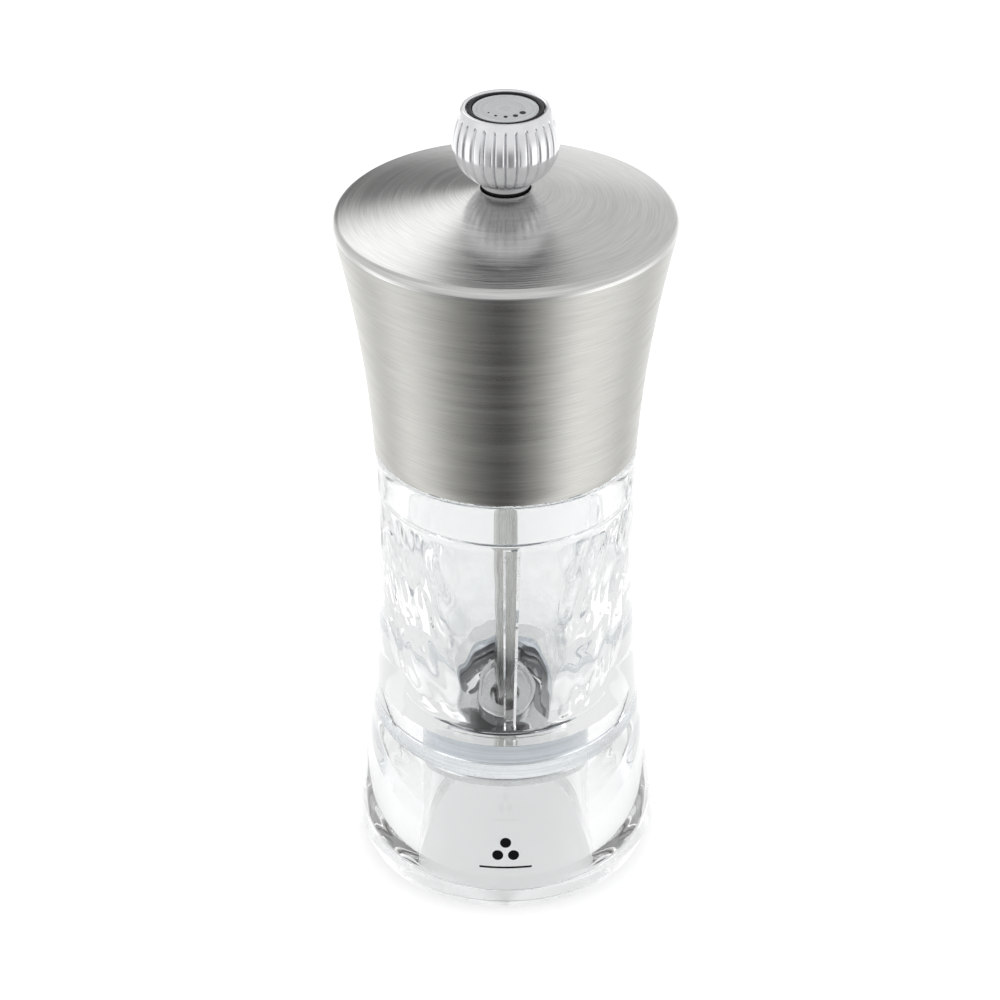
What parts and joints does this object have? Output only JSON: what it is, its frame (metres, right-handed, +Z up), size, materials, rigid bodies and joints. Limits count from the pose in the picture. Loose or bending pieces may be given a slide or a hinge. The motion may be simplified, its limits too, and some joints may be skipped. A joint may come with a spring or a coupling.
{
  "type": "pepper mill",
  "caption": "Manual pepper mill: clear waisted acrylic body, toothed steel grinder in the foot, brushed steel cap turning a square shaft, and a fluted knob that sets the grind.",
  "frame": {"origin": "middle of the base, on the surface that the mill stands on", "axes": "+Z up along the shaft, from the base to the knob; the mill is round about Z, and -Y faces the viewer"},
  "size_m": [0.0558, 0.0558, 0.14],
  "materials": {
    "clear_acrylic": "polished clear acrylic",
    "housing_aluminium": "turned, fine horizontal lines",
    "tool_steel": "hardened, dark, slightly oiled",
    "plate_steel": "stamped, satin",
    "screw_steel": "plain zinc-free steel, satin",
    "spring_steel": "drawn wire",
    "shaft_aluminium": "drawn square bar, fine lengthwise lines",
    "brushed_shell": "brushed round the wall, turned in rings on top",
    "core_plastic": "moulded, pale",
    "black_plastic": "gloss black",
    "satin_knob": "satin plated, fluted",
    "insert_brass": "turned",
    "disc_aluminium": "flat satin disc"
  },
  "bodies": {
    "body": {"acrylic_body": "clear_acrylic", "mechanism_housing": "housing_aluminium", "grinding_ring": "tool_steel", "shaft_bridge": "tool_steel", "retaining_plate": "plate_steel", "plate_screw_1": "screw_steel", "plate_screw_2": "screw_steel", "plate_screw_3": "screw_steel"},
    "drive": {"spring_seat": "plate_steel", "spring": "spring_steel"},
    "spindle": {"square_shaft": "shaft_aluminium", "grinding_cone": "tool_steel", "rotor_washer": "plate_steel"},
    "head": {"head_shell": "brushed_shell", "head_core": "core_plastic", "drive_plate": "plate_steel", "drive_plate_screw_1": "screw_steel", "drive_plate_screw_2": "screw_steel", "top_bush": "black_plastic"},
    "knob": {"knob_washer": "plate_steel", "knob_body": "satin_knob", "knob_insert": "insert_brass", "knob_ring": "black_plastic", "knob_disc": "disc_aluminium"}
  },
  "joints": [
    {"name": "head_turn", "type": "hinge", "parent": "body", "child": "drive", "pos_m": [0, 0, 0.026], "axis": [0, 0, 1], "continuous": true},
    {"name": "grind_adjust", "type": "slide", "parent": "drive", "child": "spindle", "axis": [0, 0, 1], "range_m": [-0.00099, 0.00035], "deforming": ["spring"]},
    {"name": "head_lift", "type": "slide", "parent": "drive", "child": "head", "axis": [0, 0, 1], "range_m": [0, 0.056]},
    {"name": "knob_turn", "type": "hinge", "parent": "head", "child": "knob", "pos_m": [0, 0, 0.127], "axis": [0, 0, 1], "range_deg": [-181, 510]}
  ],
  "couplings": [
    {"joint": "knob_turn", "follows": "grind_adjust", "rad_per_m": -8976}
  ]
}
